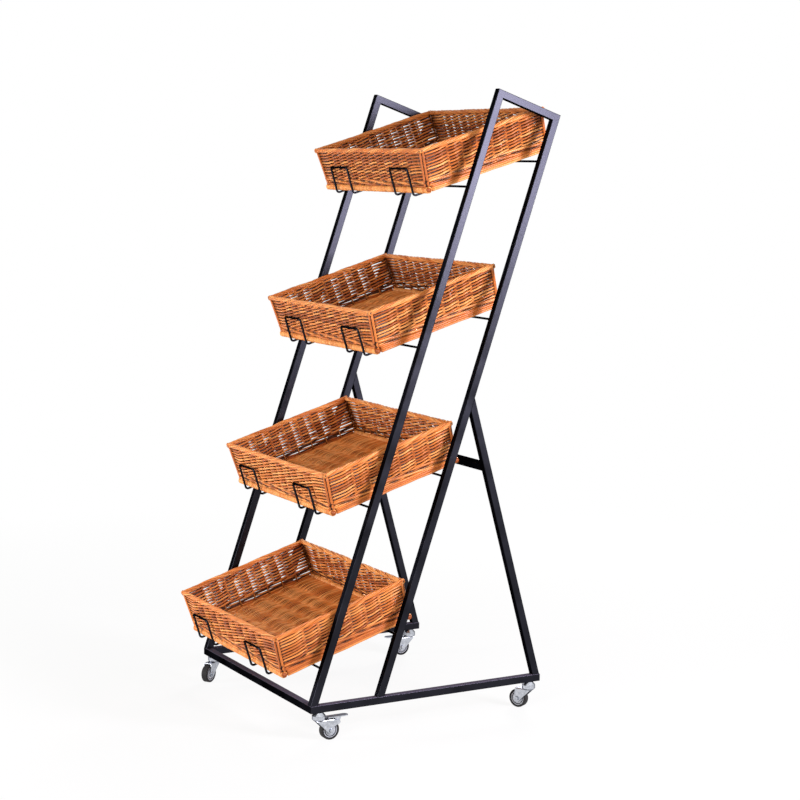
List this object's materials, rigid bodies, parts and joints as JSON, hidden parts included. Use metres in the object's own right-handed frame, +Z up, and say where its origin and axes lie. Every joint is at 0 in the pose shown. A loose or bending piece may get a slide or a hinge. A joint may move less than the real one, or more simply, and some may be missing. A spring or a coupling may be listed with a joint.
{
  "type": "basket stand",
  "caption": "Leaning steel-tube display stand on swivel casters, with tilted wicker baskets lying in bent-wire cradles, one tier above another.",
  "frame": {"origin": "on the floor, under the middle of the stand's bounding box", "axes": "+Z up, +Y to the rear, so that the baskets slope down to the front at -Y, +X to the right"},
  "size_m": [0.706, 0.8544, 1.684],
  "materials": {
    "frame_black": "satin black powder coat",
    "willow": "buff willow rods, lightly varnished",
    "zinc": "bright zinc plate",
    "hub": "light grey, satin",
    "tyre": "dark grey rubber",
    "end_cap": "black, fine grain"
  },
  "bodies": {
    "root": {"front_post_right": "frame_black", "front_post_left": "frame_black", "rear_post_right": "frame_black", "rear_post_left": "frame_black", "top_bar_right": "frame_black", "top_bar_left": "frame_black", "base_rail_right": "frame_black", "base_rail_left": "frame_black", "rear_leg_right": "frame_black", "rear_leg_left": "frame_black", "front_base_crossbar": "frame_black", "rear_leg_crossbar": "frame_black", "rail_end_caps": "end_cap", "tier_4_support_rods": "frame_black", "tier_4_cradles": "frame_black", "tier_3_support_rods": "frame_black", "tier_3_cradles": "frame_black", "tier_2_support_rods": "frame_black", "tier_2_cradles": "frame_black", "tier_1_support_rods": "frame_black", "tier_1_cradles": "frame_black", "caster_stem_bushes": "zinc", "caster_kingpins": "zinc", "caster_race_caps": "zinc", "caster_race_rings": "zinc"},
    "tier_4_basket": {"tier_4_basket_walls": "willow", "tier_4_basket_floor": "willow", "tier_4_basket_corner_posts": "willow", "tier_4_basket_borders": "willow"},
    "tier_3_basket": {"tier_3_basket_walls": "willow", "tier_3_basket_floor": "willow", "tier_3_basket_corner_posts": "willow", "tier_3_basket_borders": "willow"},
    "tier_2_basket": {"tier_2_basket_walls": "willow", "tier_2_basket_floor": "willow", "tier_2_basket_corner_posts": "willow", "tier_2_basket_borders": "willow"},
    "tier_1_basket": {"tier_1_basket_walls": "willow", "tier_1_basket_floor": "willow", "tier_1_basket_corner_posts": "willow", "tier_1_basket_borders": "willow"},
    "caster_front_right_swivel": {"caster_front_right_fork": "zinc", "caster_front_right_axle": "zinc"},
    "caster_front_right_wheel": {"caster_front_right_hub": "hub", "caster_front_right_tyre": "tyre"},
    "caster_front_right_brake_pedal": {"caster_front_right_brake_pedal": "zinc"},
    "caster_rear_right_swivel": {"caster_rear_right_fork": "zinc", "caster_rear_right_axle": "zinc"},
    "caster_rear_right_wheel": {"caster_rear_right_hub": "hub", "caster_rear_right_tyre": "tyre"},
    "caster_rear_left_swivel": {"caster_rear_left_fork": "zinc", "caster_rear_left_axle": "zinc"},
    "caster_rear_left_wheel": {"caster_rear_left_hub": "hub", "caster_rear_left_tyre": "tyre"},
    "caster_rear_left_brake_pedal": {"caster_rear_left_brake_pedal": "zinc"},
    "caster_front_left_swivel": {"caster_front_left_fork": "zinc", "caster_front_left_axle": "zinc"},
    "caster_front_left_wheel": {"caster_front_left_hub": "hub", "caster_front_left_tyre": "tyre"}
  },
  "joints": [
    {"name": "tier_4_basket_lift", "type": "slide", "parent": "root", "child": "tier_4_basket", "axis": [0, -0.2924, 0.9563], "range_m": [0, 0.15]},
    {"name": "tier_3_basket_lift", "type": "slide", "parent": "root", "child": "tier_3_basket", "axis": [0, -0.2924, 0.9563], "range_m": [0, 0.15]},
    {"name": "tier_2_basket_lift", "type": "slide", "parent": "root", "child": "tier_2_basket", "axis": [0, -0.2924, 0.9563], "range_m": [0, 0.15]},
    {"name": "tier_1_basket_lift", "type": "slide", "parent": "root", "child": "tier_1_basket", "axis": [0, -0.2924, 0.9563], "range_m": [0, 0.15]},
    {"name": "caster_front_right_turn", "type": "hinge", "parent": "root", "child": "caster_front_right_swivel", "pos_m": [0.335, -0.30516, 0.0555], "axis": [0, 0, 1], "continuous": true},
    {"name": "caster_front_right_roll", "type": "hinge", "parent": "caster_front_right_swivel", "child": "caster_front_right_wheel", "pos_m": [0.335, -0.27515, 0.0255], "axis": [-1, 0, 0], "continuous": true},
    {"name": "caster_front_right_brake", "type": "hinge", "parent": "caster_front_right_swivel", "child": "caster_front_right_brake_pedal", "pos_m": [0.335, -0.25365, 0.04627], "axis": [-1, 0, 0], "range_deg": [0, 16]},
    {"name": "caster_rear_right_turn", "type": "hinge", "parent": "root", "child": "caster_rear_right_swivel", "pos_m": [0.335, 0.34085, 0.0555], "axis": [0, 0, 1], "continuous": true},
    {"name": "caster_rear_right_roll", "type": "hinge", "parent": "caster_rear_right_swivel", "child": "caster_rear_right_wheel", "pos_m": [0.30876, 0.3263, 0.0255], "axis": [0.4848, -0.8746, 0], "continuous": true},
    {"name": "caster_rear_left_turn", "type": "hinge", "parent": "root", "child": "caster_rear_left_swivel", "pos_m": [-0.335, 0.34085, 0.0555], "axis": [0, 0, 1], "continuous": true},
    {"name": "caster_rear_left_roll", "type": "hinge", "parent": "caster_rear_left_swivel", "child": "caster_rear_left_wheel", "pos_m": [-0.335, 0.31084, 0.0255], "axis": [1, 0, 0], "continuous": true},
    {"name": "caster_rear_left_brake", "type": "hinge", "parent": "caster_rear_left_swivel", "child": "caster_rear_left_brake_pedal", "pos_m": [-0.335, 0.28934, 0.04627], "axis": [1, 0, 0], "range_deg": [0, 16]},
    {"name": "caster_front_left_turn", "type": "hinge", "parent": "root", "child": "caster_front_left_swivel", "pos_m": [-0.335, -0.30516, 0.0555], "axis": [0, 0, 1], "continuous": true},
    {"name": "caster_front_left_roll", "type": "hinge", "parent": "caster_front_left_swivel", "child": "caster_front_left_wheel", "pos_m": [-0.31866, -0.33032, 0.0255], "axis": [0.8387, 0.5446, 0], "continuous": true}
  ]
}
